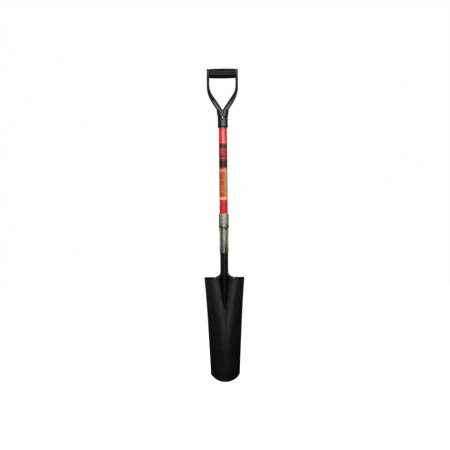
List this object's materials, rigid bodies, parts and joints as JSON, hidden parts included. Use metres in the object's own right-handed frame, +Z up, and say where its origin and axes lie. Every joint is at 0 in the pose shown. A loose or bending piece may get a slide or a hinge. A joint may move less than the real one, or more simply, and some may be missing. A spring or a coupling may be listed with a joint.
{
  "type": "drain spade",
  "caption": "Long narrow dished digging spade with forward-turned treads, steel collar, fibreglass shaft and D-grip, for trenches and post holes.",
  "frame": {"origin": "the point under the middle of the cross grip, on the shaft's axis, where the spade hangs on a peg", "axes": "+Z up the shaft towards the grip, X across the blade, the hollow front of the blade faces -Y"},
  "size_m": [0.1542, 0.0446, 1.2115],
  "materials": {
    "blade_enamel": "semi-gloss black enamel",
    "collar_steel": "satin dark steel",
    "band_zinc": "satin zinc plate",
    "rivet_steel": "satin",
    "plug_wood": "raw hardwood",
    "red_fibreglass": "gloss pultruded fibreglass",
    "core_foam": "rigid foam",
    "lower_label_film": "printed film",
    "upper_label_film": "printed film",
    "yoke_plastic": "satin moulded black",
    "grip_plastic": "satin moulded black",
    "rod_steel": "satin zinc plate"
  },
  "bodies": {
    "root": {"blade": "blade_enamel", "collar": "collar_steel", "collar_band": "band_zinc", "collar_rivet": "rivet_steel", "collar_rivet_washer": "rivet_steel", "lower_plug": "plug_wood", "shaft_tube": "red_fibreglass", "shaft_core": "core_foam", "upper_plug": "plug_wood", "lower_label": "lower_label_film", "upper_label": "upper_label_film", "grip_yoke": "yoke_plastic", "yoke_rivet": "rivet_steel", "yoke_rivet_washer": "rivet_steel", "cross_grip": "grip_plastic", "grip_rod": "rod_steel", "grip_rod_washers": "rod_steel"}
  },
  "joints": []
}
